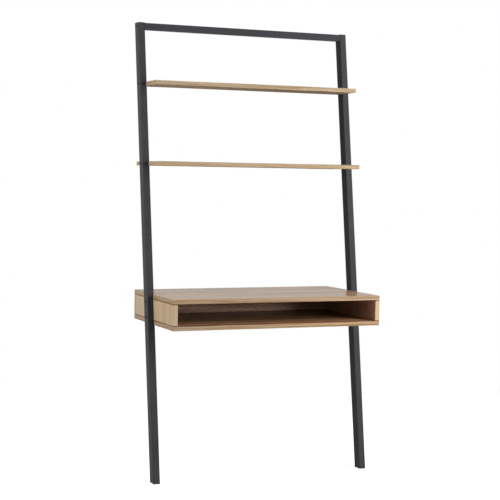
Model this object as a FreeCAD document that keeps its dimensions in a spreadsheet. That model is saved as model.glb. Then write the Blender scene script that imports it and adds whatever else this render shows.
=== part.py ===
"""Leaning ladder desk: a black steel ladder frame, two oak shelves and an open desk box, in millimetres.

Frame of reference: +Z is up from the floor, +X is to the right and -Y faces the person at the desk.
The origin is on the floor, midway between the legs, and midway from the desk's front edge to the wall.
"""

import FreeCAD, Part
import os
import re

import Sketcher

# ---------------------------------------------------------------- driving dimensions

SIZES = {
    # steel frame
    "frame_height": 1960,  # floor to the top of the caps
    "frame_width": 1000,  # over the legs' outer faces
    "leg_width": 30,  # tube section, side to side
    "leg_depth": 50,  # tube section, front to back, square to the leg
    "tube_wall": 2,
    "tube_corner": 3,  # outer corner radius of every tube
    "lean_angle": 8.3,  # degrees from upright
    "wall_gap": 40,  # wall to the back of the leg tubes, at their top
    "crossbar_size": 30,  # square tube
    "end_plate_thickness": 5,
    "weld_gap": 0.1,
    # plugs in the tube ends
    "cap_flange": 2,
    "cap_bolt_gap": 1.75,  # cap plug to the head of the crossbar bolt
    "foot_flange": 4,
    "foot_plug_depth": 20,
    "plug_gap": 0.2,
    "plug_wall": 2,
    "flange_corner": 1.8,  # chamfers, about as far in as the tube's round corners
    "flange_arris": 0.8,
    # boards
    "shelf_thickness": 18,
    "upper_shelf_drop": 258,  # from the top of the caps to the shelf's top
    "lower_shelf_drop": 601,
    "shelf_overhang": 128,  # in front of the legs, at the board's mid-height
    "upper_shelf_tail": 2,  # behind the legs, at the board's mid-height
    "lower_shelf_wall_gap": 7.5,
    "desk_depth": 525,  # front edge to the wall
    "desk_height": 792,  # floor to the desktop
    "desk_box_height": 129,
    "desk_board": 20,
    "desk_back_board": 15,
    "arris": 0.8,  # chamfer along every edge of a board
    "housing_depth": 4,  # how deep each board end is cut out for the leg
    "housing_gap": 0.35,
    "cut_overrun": 5,
    # bolts and screws through the legs' inner walls, and the desk's threaded sleeves
    "bolt_diameter": 6,
    "bolt_hole_gap": 0.3,  # all round
    "thread_gap": 0.05,
    "head_diameter": 10.5,
    "head_height": 3.3,
    "head_access_gap": 0.75,  # all round
    "socket_width": 4,  # across flats
    "socket_depth": 2,
    "crossbar_bolt_run": 8,  # past the end plate
    "insert_wall": 1.5,
    "insert_bore_run": 1,  # bore in the wood, past the sleeve
    "insert_cover": 3,  # wood left behind the sleeves
    "insert_fit": 0.05,
    "shelf_screw_length": 50,
    "screw_fit": 0.05,
    "screw_tip_gap": 0.5,
    "desk_bolt_inset": 12.5,  # from a side panel's long edges
    # loose tongues in the desk box
    "tongue_thickness": 4,
    "tongue_width": 18,  # half of it in each board
    "tongue_fit": 0.05,
    "groove_end_gap": 0.5,  # past a tongue's long edge
    "side_tongue_length": 150,
    "side_tongue_offset": 120,  # from the leg's middle line to a tongue's middle, forwards and back
    "back_tongue_inset": 34,  # from the boards' ends
    # wall brackets under the desk
    "bracket_inset": 150,  # from a leg's outer face to the middle of the bracket
    "bracket_width": 40,
    "bracket_reach": 40,  # along the desk's underside
    "bracket_drop": 40,  # down the wall
    "bracket_thickness": 2.5,
    "bracket_bend": 2,  # inner radius
    "bracket_corner": 6,
    "wall_hole_diameter": 6.5,
    "wall_hole_inset": 14,  # from the lower edge
    "screw_hole_inset": 12,  # from the front edge
    "screw_diameter": 4,
    "screw_hole_gap": 0.4,
    "screw_head_diameter": 8,
    "screw_head_height": 2.4,
    "screw_cover": 6.5,  # wood left above a bracket screw
}

STRAIGHT = 0.99  # an edge along an axis has at least this share of its direction there

# ---------------------------------------------------------------- places worked out from them

SLOPE = "tan(lean_angle)"
LEG_SPAN = "(leg_depth / cos(lean_angle))"
LEVEL_WALL = "(tube_wall / cos(lean_angle))"
WALL_Y = "(desk_depth / 2)"
TUBE_TOP = "(frame_height - cap_flange)"
LEG_FLOOR_Y = f"({WALL_Y} - wall_gap - {LEG_SPAN} / 2 - {TUBE_TOP} * {SLOPE})"
LEG_X = "(frame_width / 2 - leg_width / 2)"
INNER_X = "(frame_width / 2 - leg_width)"
BOLT_SEAT_X = f"({INNER_X} + tube_wall)"
BOARD_LENGTH = f"(2 * ({INNER_X} + housing_depth))"

CROSSBAR_Z = f"({TUBE_TOP} - crossbar_size / 2)"
UPPER_SHELF_Z = "(frame_height - upper_shelf_drop - shelf_thickness / 2)"
LOWER_SHELF_Z = "(frame_height - lower_shelf_drop - shelf_thickness / 2)"
DESK_Z = "(desk_height - desk_box_height / 2)"
DESK_UNDERSIDE_Z = "(desk_height - desk_box_height)"
OPENING = "(desk_box_height - 2 * desk_board)"
DESK_BOLT_RISE = f"({OPENING} / 2 - desk_bolt_inset)"


def leg_y(height):
    """Y of the legs' middle line at a height."""
    return f"({LEG_FLOOR_Y} + ({height}) * {SLOPE})"


CROSSBAR_Y = f"({leg_y(TUBE_TOP)} - {LEG_SPAN} / 2 + crossbar_size / 2)"
UPPER_SHELF_FRONT = f"({leg_y(UPPER_SHELF_Z)} - {LEG_SPAN} / 2 - shelf_overhang)"
UPPER_SHELF_BACK = f"({leg_y(UPPER_SHELF_Z)} + {LEG_SPAN} / 2 + upper_shelf_tail)"
LOWER_SHELF_FRONT = f"({leg_y(LOWER_SHELF_Z)} - {LEG_SPAN} / 2 - shelf_overhang)"
LOWER_SHELF_BACK = f"({WALL_Y} - lower_shelf_wall_gap)"
PANEL_DEPTH = "(desk_depth - desk_back_board)"
PANEL_Y = "(-desk_back_board / 2)"
PANEL_X = f"({BOARD_LENGTH} / 2 - desk_board / 2)"
BACK_TONGUE_LENGTH = f"({BOARD_LENGTH} - 2 * back_tongue_inset)"
BRACKET_X = "(frame_width / 2 - bracket_inset)"

INSERT_DIAMETER = "(bolt_diameter + 2 * insert_wall)"
INSERT_LENGTH = "(desk_board - housing_depth - insert_cover)"
SCREW_LENGTH = "(bracket_thickness + desk_board - screw_cover)"

# ---------------------------------------------------------------- the document and its helpers

doc = FreeCAD.newDocument("LadderDesk")
sheet = doc.addObject("Spreadsheet::Sheet", "Sizes")
for row, (alias, size) in enumerate(SIZES.items(), 1):
    sheet.set(f"A{row}", alias)
    sheet.set(f"B{row}", str(size))
    sheet.setAlias(f"B{row}", alias)
doc.recompute()

ALIASES = re.compile(r"\b(" + "|".join(SIZES) + r")\b")
nodes = []


def on_sheet(expression):
    """The expression with each alias looked up on the sheet."""
    return ALIASES.sub(r"Sizes.\1", str(expression))


def number(expression):
    """The expression's present value."""
    return float(sheet.evalExpression(on_sheet(expression)))


def tie(item, place, expression):
    """Binds a property to an expression on the sheet."""
    item.setExpression(place, on_sheet(expression))


def set_down(item, x, y, z):
    """Ties an object's place."""
    tie(item, "Placement.Base.x", x)
    tie(item, "Placement.Base.y", y)
    tie(item, "Placement.Base.z", z)


def new_body(label, x="0", y="0", z="0"):
    body = doc.addObject("PartDesign::Body", label)
    set_down(body, x, y, z)
    return body


def new_sketch(body, plane, offset="0", shift="0"):
    """Sketch on one of the body's origin planes, moved off along its normal and up along its second axis."""
    sketch = body.newObject("Sketcher::SketchObject", body.Label + "_sketch")
    support = next(f for f in body.Origin.OriginFeatures if f.Role == plane)
    sketch.AttachmentSupport = [(support, "")]
    sketch.MapMode = "FlatFace"
    tie(sketch, "AttachmentOffset.Base.y", shift)
    tie(sketch, "AttachmentOffset.Base.z", offset)
    return sketch


def hold(sketch, kind, *where):
    """Adds a dimension; its last entry is the expression that sets it."""
    index = sketch.addConstraint(Sketcher.Constraint(kind, *where[:-1], number(where[-1])))
    tie(sketch, f"Constraints[{index}]", where[-1])


def outline(sketch, corners):
    """Closed outline of straight lines through corners that are each held to the sketch's origin."""
    spots = [FreeCAD.Vector(number(x), number(y), 0) for x, y in corners]
    lines = []
    for start, end in zip(spots, spots[1:] + spots[:1]):
        lines.append(sketch.addGeometry(Part.LineSegment(start, end)))
    for line, following in zip(lines, lines[1:] + lines[:1]):
        sketch.addConstraint(Sketcher.Constraint("Coincident", line, 2, following, 1))
    for line, (x, y) in zip(lines, corners):
        hold(sketch, "DistanceX", -1, 1, line, 1, x)
        hold(sketch, "DistanceY", -1, 1, line, 1, y)


def rectangle(sketch, across, up, x="0", y="0"):
    """Rectangle centred at x and y."""
    ends = ((-1, -1), (1, -1), (1, 1), (-1, 1))
    outline(sketch, [(f"{x} + {a} * ({across}) / 2", f"{y} + {b} * ({up}) / 2") for a, b in ends])


def circle(sketch, x, y, diameter):
    centre = FreeCAD.Vector(number(x), number(y), 0)
    ring = sketch.addGeometry(Part.Circle(centre, FreeCAD.Vector(0, 0, 1), number(diameter) / 2))
    hold(sketch, "DistanceX", -1, 1, ring, 3, x)
    hold(sketch, "DistanceY", -1, 1, ring, 3, y)
    hold(sketch, "Diameter", ring, diameter)


def hexagon(sketch, across_flats):
    """Regular hexagon centred on the sketch's origin."""
    reach = f"({across_flats}) / cos(30) / 2"
    outline(sketch, [(f"{reach} * cos({turn})", f"{reach} * sin({turn})") for turn in range(0, 360, 60)])


def lean(feature):
    """Makes a pad run up along the legs' lean, its length still measured upright."""
    feature.UseCustomVector = True
    feature.Direction = FreeCAD.Vector(0, number(SLOPE), 1)
    tie(feature, "Direction.y", SLOPE)
    feature.AlongSketchNormal = True


def pad(body, sketch, length, leaning=False, reverse=False):
    """Raises the sketch along its plane's normal, or against it, onto what the body already has."""
    feature = body.newObject("PartDesign::Pad", body.Label + "_pad")
    feature.Profile = sketch
    feature.Reversed = reverse
    tie(feature, "Length", length)
    if leaning:
        lean(feature)
    doc.recompute()


def pocket(body, sketch, depth, along_normal):
    """Cuts the sketch into the body, along its plane's normal or against it, and makes sure that it cuts."""
    before = body.Shape.Volume
    feature = body.newObject("PartDesign::Pocket", body.Label + "_pocket")
    feature.Profile = sketch
    feature.Reversed = along_normal
    tie(feature, "Length", depth)
    doc.recompute()
    if not feature.Shape.Volume < before:
        raise RuntimeError(f"{feature.Label} cuts nothing")
    return feature


def mirrored(body, features, plane):
    """Repeats features on the other side of one of the body's origin planes."""
    before = body.Shape.Volume
    mirror = body.newObject("PartDesign::Mirrored", body.Label + "_mirrored")
    mirror.Originals = features
    mirror.MirrorPlane = (next(f for f in body.Origin.OriginFeatures if f.Role == plane), [""])
    body.Tip = mirror
    doc.recompute()
    if abs(mirror.Shape.Volume - before) < 1e-6 * before:
        raise RuntimeError(f"{mirror.Label} repeats nothing")


def dress(body, kind, size_name, size, wanted):
    """Fillet or chamfer on the edges of the body's tip that are wanted."""
    base = body.Tip
    names = [f"Edge{n}" for n, edge in enumerate(base.Shape.Edges, 1) if wanted(edge)]
    if not names:
        raise RuntimeError(f"{body.Label} has no edge to dress")
    feature = body.newObject("PartDesign::" + kind, body.Label + "_" + kind.lower())
    feature.Base = (base, names)
    tie(feature, size_name, size)
    doc.recompute()


def fillet(body, radius, wanted):
    dress(body, "Fillet", "Radius", radius, wanted)


def chamfer(body, size, wanted):
    dress(body, "Chamfer", "Size", size, wanted)


def direction(edge):
    return edge.tangentAt(edge.FirstParameter)


def middle(edge):
    return edge.valueAt((edge.FirstParameter + edge.LastParameter) / 2)


def copies(label, master, places):
    """One node of identical pieces: links to the master, each at x, y, z and turned by an angle about Z."""
    links = []
    for x, y, z, turn in places:
        link = doc.addObject("App::Link", label + "_piece")
        link.LinkedObject = master
        link.Placement = FreeCAD.Placement(FreeCAD.Vector(), FreeCAD.Rotation(FreeCAD.Vector(0, 0, 1), turn))
        set_down(link, x, y, z)
        links.append(link)
    group = doc.addObject("Part::Compound", label)
    group.Links = links
    doc.recompute()
    nodes.append(group)


def at_both_ends(x, y, z):
    """The same place at the left and the right leg, each facing inwards."""
    return [(f"-{x}", y, z, 0), (x, y, z, 180)]


# ---------------------------------------------------------------- steel frame


def upright(edge):
    """An edge that runs up along the lean."""
    return abs(direction(edge).x) < 1 - STRAIGHT and direction(edge).z ** 2 > 0.5


def leg(label, side):
    """Leaning rectangular tube. A bolt head passes each hole in its outer wall and seats on its inner wall."""
    body = new_body(label, f"{side} * {LEG_X}", LEG_FLOOR_Y)
    section = new_sketch(body, "XY_Plane", "foot_flange", f"foot_flange * {SLOPE}")
    rectangle(section, "leg_width", LEG_SPAN)
    rectangle(section, "leg_width - 2 * tube_wall", f"{LEG_SPAN} - 2 * {LEVEL_WALL}")
    pad(body, section, f"{TUBE_TOP} - foot_flange", leaning=True)
    mid_wall = number("leg_width / 2 - tube_wall / 2")
    fillet(body, "tube_corner", lambda edge: upright(edge) and abs(middle(edge).x) > mid_wall)

    bolts = [(f"{CROSSBAR_Y} - {LEG_FLOOR_Y}", CROSSBAR_Z)]
    desk_bolts = [f"({DESK_Z} + {way} * {DESK_BOLT_RISE})" for way in (1, -1)]
    for height in (UPPER_SHELF_Z, LOWER_SHELF_Z, *desk_bolts):
        bolts.append((f"{height} * {SLOPE}", height))
    outwards = side > 0
    for diameter, along_normal in (
        ("head_diameter + 2 * head_access_gap", outwards),
        ("bolt_diameter + 2 * bolt_hole_gap", not outwards),
    ):
        holes = new_sketch(body, "YZ_Plane")
        for y, z in bolts:
            circle(holes, y, z, diameter)
        pocket(body, holes, "leg_width / 2", along_normal)
    nodes.append(body)


def flange(body, bottom, height):
    """Level plate with the tube's outline, from a height above the floor."""
    sketch = new_sketch(body, "XY_Plane", bottom, f"({bottom}) * {SLOPE}")
    rectangle(sketch, "leg_width", LEG_SPAN)
    pad(body, sketch, height, leaning=True)
    chamfer(body, "flange_corner", upright)


def plug(body, bottom, height):
    """Hollow plug that fills the tube, from a height above the floor."""
    width = "(leg_width - 2 * tube_wall - 2 * plug_gap)"
    span = f"({LEG_SPAN} - 2 * {LEVEL_WALL} - 2 * plug_gap)"
    sketch = new_sketch(body, "XY_Plane", bottom, f"({bottom}) * {SLOPE}")
    rectangle(sketch, width, span)
    rectangle(sketch, f"{width} - 2 * plug_wall", f"{span} - 2 * plug_wall")
    pad(body, sketch, height, leaning=True)


def top_cap(label, side):
    """Plastic cap with a hollow plug inside the tube."""
    body = new_body(label, f"{side} * {LEG_X}", LEG_FLOOR_Y)
    flange(body, TUBE_TOP, "cap_flange")
    top = number("frame_height")
    chamfer(body, "flange_arris", lambda edge: abs(middle(edge).z - top) < number("plug_gap"))
    plug_depth = "(crossbar_size / 2 - head_diameter / 2 - cap_bolt_gap)"
    plug(body, f"{TUBE_TOP} - {plug_depth}", plug_depth)
    nodes.append(body)


def foot(label, side):
    """Plastic foot with a hollow plug inside the tube."""
    body = new_body(label, f"{side} * {LEG_X}", LEG_FLOOR_Y)
    flange(body, "0", "foot_flange")
    chamfer(body, "flange_arris", lambda edge: abs(middle(edge).z) < number("plug_gap"))
    plug(body, "foot_flange", "foot_plug_depth")
    nodes.append(body)


def crossbar():
    """Square tube butted between the legs, its front in line with theirs at the top edge."""
    body = new_body("top_crossbar", "0", CROSSBAR_Y, CROSSBAR_Z)
    section = new_sketch(body, "YZ_Plane", f"-{INNER_X}")
    rectangle(section, "crossbar_size", "crossbar_size")
    rectangle(section, "crossbar_size - 2 * tube_wall", "crossbar_size - 2 * tube_wall")
    pad(body, section, f"2 * {INNER_X}")
    mid_wall = number("crossbar_size / 2 - tube_wall / 2")

    def outer_corner(edge):
        return abs(direction(edge).x) > STRAIGHT and abs(middle(edge).z) > mid_wall

    fillet(body, "tube_corner", outer_corner)
    nodes.append(body)


def end_plate(label, side):
    """Threaded plate welded inside an end of the crossbar."""
    x = f"{side} * ({INNER_X} - end_plate_thickness / 2)"
    body = new_body(label, x, CROSSBAR_Y, CROSSBAR_Z)
    blank = new_sketch(body, "YZ_Plane", "-end_plate_thickness / 2")
    plate_size = "crossbar_size - 2 * tube_wall - 2 * weld_gap"
    rectangle(blank, plate_size, plate_size)
    pad(body, blank, "end_plate_thickness")
    hole = new_sketch(body, "YZ_Plane", "-end_plate_thickness / 2")
    circle(hole, "0", "0", "bolt_diameter + 2 * thread_gap")
    pocket(body, hole, "end_plate_thickness", True)
    nodes.append(body)


# ---------------------------------------------------------------- bolts and threaded sleeves


def socket_bolt(label, length):
    """Socket-head bolt along +X, the underside of its head at the origin."""
    body = new_body(label)
    head = new_sketch(body, "YZ_Plane")
    circle(head, "0", "0", "head_diameter")
    pad(body, head, "head_height", reverse=True)
    shank = new_sketch(body, "YZ_Plane")
    circle(shank, "0", "0", "bolt_diameter")
    pad(body, shank, length)
    socket = new_sketch(body, "YZ_Plane", "-head_height")
    hexagon(socket, "socket_width")
    pocket(body, socket, "socket_depth", True)
    return body


def sleeve(label, length):
    """Threaded sleeve along +X, its mouth at the origin."""
    body = new_body(label)
    ring = new_sketch(body, "YZ_Plane")
    circle(ring, "0", "0", INSERT_DIAMETER)
    circle(ring, "0", "0", "bolt_diameter + 2 * thread_gap")
    pad(body, ring, length)
    return body


# ---------------------------------------------------------------- boards


def board(label, width, depth, height, x, y, z):
    """Veneered board with every arris chamfered, centred on its own origin."""
    body = new_body(label, x, y, z)
    blank = new_sketch(body, "XY_Plane", f"-({height}) / 2")
    rectangle(blank, width, depth)
    pad(body, blank, height)
    chamfer(body, "arris", lambda edge: True)
    return body


def leg_housing(body, end_x, into_board, height, y, z, open_back=None):
    """Slanting housing, cut across the end of a board that is centred at y and z, in which a leg lies."""
    low = f"(-({height}) / 2 - cut_overrun)"
    high = f"(({height}) / 2 + cut_overrun)"

    def front(level):
        return f"{leg_y(f'{z} + {level}')} - {LEG_SPAN} / 2 - housing_gap - ({y})"

    def back(level):
        return open_back or f"{leg_y(f'{z} + {level}')} + {LEG_SPAN} / 2 + housing_gap - ({y})"

    sketch = new_sketch(body, "YZ_Plane", end_x)
    outline(sketch, [(front(low), low), (back(low), low), (back(high), high), (front(high), high)])
    return pocket(body, sketch, "housing_depth", into_board)


def end_bores(body, end_x, into_board, spots, diameter, depth):
    """Bores in a board's end, at places from the board's centre and to a depth past the housing's floor."""
    sketch = new_sketch(body, "YZ_Plane", end_x)
    for y, z in spots:
        circle(sketch, y, z, diameter)
    return pocket(body, sketch, f"housing_depth + {depth}", into_board)


def shelf(label, front, back, z, open_back):
    """Shelf with a leg housing and a screw's bore in each end."""
    y = f"(({front} + {back}) / 2)"
    depth = f"({back} - {front})"
    body = board(label, BOARD_LENGTH, depth, "shelf_thickness", "0", y, z)
    left_end = f"-{BOARD_LENGTH} / 2"
    rear = f"{depth} / 2 + cut_overrun" if open_back else None
    housing = leg_housing(body, left_end, True, "shelf_thickness", y, z, rear)
    spots = [(f"{leg_y(z)} - {y}", "0")]
    depth_in_wood = "(shelf_screw_length - tube_wall + screw_tip_gap)"
    bore = end_bores(body, left_end, True, spots, "bolt_diameter + 2 * screw_fit", depth_in_wood)
    mirrored(body, [housing, bore], "YZ_Plane")
    nodes.append(body)


# ---------------------------------------------------------------- desk box

BACK_PANEL_Y = f"({WALL_Y} - desk_back_board / 2)"
TONGUE_YS = [f"({leg_y(DESK_Z)} + {way} * side_tongue_offset)" for way in (-1, 1)]  # along each side panel
GROOVE_DEPTH = "(tongue_width / 2 + groove_end_gap)"
GROOVE_WIDTH = "(tongue_thickness + 2 * tongue_fit)"
SIDE_GROOVE = "(side_tongue_length + 2 * tongue_fit)"
BACK_GROOVE = f"({BACK_TONGUE_LENGTH} + 2 * tongue_fit)"


def desk_slab(label, z, facing):
    """Top or bottom board of the desk box, with stopped grooves in the face that meets the panels."""
    body = board(label, BOARD_LENGTH, "desk_depth", "desk_board", "0", "0", z)
    housing = leg_housing(body, f"-{BOARD_LENGTH} / 2", True, "desk_board", "0", z)
    inwards = facing < 0
    face = f"{facing} * desk_board / 2"
    side_grooves = new_sketch(body, "XY_Plane", face)
    for y in TONGUE_YS:
        rectangle(side_grooves, GROOVE_WIDTH, SIDE_GROOVE, f"-{PANEL_X}", y)
    side_cut = pocket(body, side_grooves, GROOVE_DEPTH, inwards)
    mirrored(body, [housing, side_cut], "YZ_Plane")
    back_groove = new_sketch(body, "XY_Plane", face)
    rectangle(back_groove, BACK_GROOVE, GROOVE_WIDTH, "0", BACK_PANEL_Y)
    pocket(body, back_groove, GROOVE_DEPTH, inwards)
    return body


def bracket_screw_bores(body):
    """Pilot bores for the bracket screws in the underside of the desk's bottom board."""
    sketch = new_sketch(body, "XY_Plane", "-desk_board / 2")
    for x, y, _, _ in SCREW_PLACES:
        circle(sketch, x, y, "screw_diameter + 2 * screw_fit")
    pocket(body, sketch, f"{SCREW_LENGTH} - bracket_thickness + screw_tip_gap", True)


def side_panel(label, side):
    """Side panel between the slabs: a leg housing and two sleeves' bores outside, grooves top and bottom."""
    body = board(label, "desk_board", PANEL_DEPTH, OPENING, f"{side} * {PANEL_X}", PANEL_Y, DESK_Z)
    outer_face = f"{side} * desk_board / 2"
    inwards = side < 0
    leg_housing(body, outer_face, inwards, OPENING, PANEL_Y, DESK_Z)
    spots = []
    for way in (1, -1):
        rise = f"({way} * {DESK_BOLT_RISE})"
        spots.append((f"{leg_y(f'{DESK_Z} + {rise}')} - {PANEL_Y}", rise))
    bore_depth = f"({INSERT_LENGTH} + insert_bore_run)"
    end_bores(body, outer_face, inwards, spots, f"{INSERT_DIAMETER} + 2 * insert_fit", bore_depth)
    grooves = new_sketch(body, "XY_Plane", f"-{OPENING} / 2")
    for y in TONGUE_YS:
        rectangle(grooves, GROOVE_WIDTH, SIDE_GROOVE, "0", f"{y} - {PANEL_Y}")
    cut = pocket(body, grooves, GROOVE_DEPTH, True)
    mirrored(body, [cut], "XY_Plane")
    nodes.append(body)


def back_panel():
    """Back of the desk box, between the slabs and over the side panels' rear ends."""
    body = board("desk_back", BOARD_LENGTH, "desk_back_board", OPENING, "0", BACK_PANEL_Y, DESK_Z)
    groove = new_sketch(body, "XY_Plane", f"-{OPENING} / 2")
    rectangle(groove, BACK_GROOVE, GROOVE_WIDTH)
    cut = pocket(body, groove, GROOVE_DEPTH, True)
    mirrored(body, [cut], "XY_Plane")
    nodes.append(body)


def tongue(label, across, along):
    """Loose tongue, centred on the origin, that joins the boards above and below it."""
    body = new_body(label)
    section = new_sketch(body, "XY_Plane", "-tongue_width / 2")
    rectangle(section, across, along)
    pad(body, section, "tongue_width")
    return body


def tongue_places(spots):
    """Tongues across the joints over the opening, and below it."""
    return [(x, y, f"{DESK_Z} + {way} * {OPENING} / 2", 0) for way in (1, -1) for x, y in spots]


# ---------------------------------------------------------------- wall brackets

BRACKETS = {"left_wall_bracket": -1, "right_wall_bracket": 1}
SCREW_PLACES = [
    (
        f"{side} * {BRACKET_X}",
        f"{WALL_Y} - bracket_reach + screw_hole_inset",
        f"{DESK_UNDERSIDE_Z} - bracket_thickness",
        0,
    )
    for side in BRACKETS.values()
]


def wall_bracket(label, side):
    """Bent steel angle, one flange screwed to the desk's underside and the other flat on the wall."""
    body = new_body(label, f"{side} * {BRACKET_X}", WALL_Y, DESK_UNDERSIDE_Z)
    profile = new_sketch(body, "YZ_Plane", "-bracket_width / 2")
    outline(
        profile,
        [
            ("0", "0"),
            ("-bracket_reach", "0"),
            ("-bracket_reach", "-bracket_thickness"),
            ("-bracket_thickness", "-bracket_thickness"),
            ("-bracket_thickness", "-bracket_drop"),
            ("0", "-bracket_drop"),
        ],
    )
    pad(body, profile, "bracket_width")
    near = number("bracket_thickness") / 2

    def lengthwise(edge, level):
        spot = middle(edge)
        along = abs(direction(edge).x) > STRAIGHT
        return along and abs(spot.y + level) < near and abs(spot.z + level) < near

    fillet(body, "bracket_bend + bracket_thickness", lambda edge: lengthwise(edge, 0))
    fillet(body, "bracket_bend", lambda edge: lengthwise(edge, 2 * near))
    reach = number("bracket_reach")
    drop = number("bracket_drop")

    def flange_corner(edge):
        across = abs(direction(edge).x) < 1 - STRAIGHT
        spot = middle(edge)
        return across and (abs(spot.y + reach) < near or abs(spot.z + drop) < near)

    chamfer(body, "bracket_corner", flange_corner)
    screw_hole = new_sketch(body, "XY_Plane")
    circle(screw_hole, "0", "-bracket_reach + screw_hole_inset", "screw_diameter + 2 * screw_hole_gap")
    pocket(body, screw_hole, "bracket_thickness", False)
    wall_hole = new_sketch(body, "XZ_Plane")
    circle(wall_hole, "0", "-bracket_drop + wall_hole_inset", "wall_hole_diameter")
    pocket(body, wall_hole, "bracket_thickness", True)
    nodes.append(body)


def pan_screw(label):
    """Pan-head wood screw along +Z, the underside of its head at the origin."""
    body = new_body(label)
    head = new_sketch(body, "XY_Plane")
    circle(head, "0", "0", "screw_head_diameter")
    pad(body, head, "screw_head_height", reverse=True)
    shank = new_sketch(body, "XY_Plane")
    circle(shank, "0", "0", "screw_diameter")
    pad(body, shank, SCREW_LENGTH)
    return body


# ---------------------------------------------------------------- assembly

for name, side in (("left", -1), ("right", 1)):
    leg(f"{name}_leg", side)
    top_cap(f"{name}_top_cap", side)
    foot(f"{name}_foot", side)
    end_plate(f"{name}_crossbar_end_plate", side)
crossbar()

shelf("upper_shelf", UPPER_SHELF_FRONT, UPPER_SHELF_BACK, UPPER_SHELF_Z, True)
shelf("lower_shelf", LOWER_SHELF_FRONT, LOWER_SHELF_BACK, LOWER_SHELF_Z, False)

nodes.append(desk_slab("desk_top", "(desk_height - desk_board / 2)", -1))
bottom = desk_slab("desk_bottom", f"({DESK_UNDERSIDE_Z} + desk_board / 2)", 1)
bracket_screw_bores(bottom)
nodes.append(bottom)
side_panel("desk_left_side", -1)
side_panel("desk_right_side", 1)
back_panel()

crossbar_bolt = socket_bolt("crossbar_bolt", "(tube_wall + end_plate_thickness + crossbar_bolt_run)")
shelf_screw = socket_bolt("shelf_screw", "shelf_screw_length")
desk_bolt = socket_bolt("desk_bolt", f"(tube_wall + {INSERT_LENGTH})")
desk_sleeve = sleeve("desk_sleeve", INSERT_LENGTH)

copies("crossbar_bolts", crossbar_bolt, at_both_ends(BOLT_SEAT_X, CROSSBAR_Y, CROSSBAR_Z))
copies("upper_shelf_screws", shelf_screw, at_both_ends(BOLT_SEAT_X, leg_y(UPPER_SHELF_Z), UPPER_SHELF_Z))
copies("lower_shelf_screws", shelf_screw, at_both_ends(BOLT_SEAT_X, leg_y(LOWER_SHELF_Z), LOWER_SHELF_Z))
desk_bolt_places = []
desk_sleeve_places = []
for way in (1, -1):
    z = f"({DESK_Z} + {way} * {DESK_BOLT_RISE})"
    desk_bolt_places += at_both_ends(BOLT_SEAT_X, leg_y(z), z)
    desk_sleeve_places += at_both_ends(INNER_X, leg_y(z), z)
copies("desk_bolts", desk_bolt, desk_bolt_places)
copies("desk_inserts", desk_sleeve, desk_sleeve_places)

side_tongue = tongue("side_tongue", "tongue_thickness", "side_tongue_length")
back_tongue = tongue("back_tongue", BACK_TONGUE_LENGTH, "tongue_thickness")
side_spots = [(f"{side} * {PANEL_X}", y) for side in (-1, 1) for y in TONGUE_YS]
copies("side_panel_tongues", side_tongue, tongue_places(side_spots))
copies("back_panel_tongues", back_tongue, tongue_places([("0", BACK_PANEL_Y)]))

for name, side in BRACKETS.items():
    wall_bracket(name, side)
copies("wall_bracket_screws", pan_screw("bracket_screw"), SCREW_PLACES)

# ---------------------------------------------------------------- checks and export

doc.recompute()
for item in doc.Objects:
    if "Invalid" in item.State or "Error" in item.State:
        raise RuntimeError(f"{item.Label} failed: {item.State}")
for node in nodes:
    if node.Shape.isNull() or not node.Shape.isValid() or not node.Shape.Solids:
        raise RuntimeError(f"{node.Label} has no valid solid")

os.makedirs("parts", exist_ok=True)
for node in nodes:
    node.Shape.exportStep(f"parts/{node.Label}.step")
    box = node.Shape.BoundBox
    print(node.Label, len(node.Shape.Solids), f"{box.XLength:.1f} x {box.YLength:.1f} x {box.ZLength:.1f}")
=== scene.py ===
# %% [markdown]
# # Dressing a ladder desk
#
# The desk is a frame of black powder-coated steel tube, bolted together, that leans on a wall. Two
# oak-veneered shelves and an oak-veneered desk box hang between its legs. The solids come finished
# from CAD, so this lesson is about what a solid can't show: how each surface was made, and what
# that does to light.
#
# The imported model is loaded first, as a fixed frame. Its boards and tubes stay where they are and
# only get finishes. Small fasteners are rebuilt with the threads and recesses that the solids leave
# out.

# %% Load the solids
import math

import bmesh
import bpy
from mathutils import Matrix, Vector


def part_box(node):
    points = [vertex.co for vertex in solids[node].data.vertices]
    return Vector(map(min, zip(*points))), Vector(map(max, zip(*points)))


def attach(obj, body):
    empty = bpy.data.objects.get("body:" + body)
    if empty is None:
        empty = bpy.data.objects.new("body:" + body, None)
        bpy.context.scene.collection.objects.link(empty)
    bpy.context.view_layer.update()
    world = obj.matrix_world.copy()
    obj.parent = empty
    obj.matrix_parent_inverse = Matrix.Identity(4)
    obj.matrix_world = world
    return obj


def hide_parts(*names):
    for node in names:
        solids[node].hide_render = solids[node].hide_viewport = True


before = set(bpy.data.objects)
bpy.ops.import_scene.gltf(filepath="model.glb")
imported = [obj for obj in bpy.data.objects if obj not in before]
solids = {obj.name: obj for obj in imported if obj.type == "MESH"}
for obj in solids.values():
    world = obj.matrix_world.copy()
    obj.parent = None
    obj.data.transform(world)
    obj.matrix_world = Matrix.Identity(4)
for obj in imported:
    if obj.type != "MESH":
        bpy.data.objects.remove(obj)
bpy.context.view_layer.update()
MM = 0.001

# %% [markdown]
# ## Two helpers
#
# Finishes are written as sRGB hex values, the way a paint chart gives them, but Blender's shaders
# work in linear light. One function turns the first into the second.
#
# A material is a small network of nodes. A function for each kind of node would be a second
# language to learn, so a single function adds any node, sets its properties, fills its inputs with
# values or links, and hands back the output that the next node reads.


# %% Colours and nodes
def linear(chart_colour):
    channels = [int(chart_colour[i : i + 2], 16) / 255 for i in (1, 3, 5)]
    return (*(c / 12.92 if c <= 0.04045 else ((c + 0.055) / 1.055) ** 2.4 for c in channels), 1.0)


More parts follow.
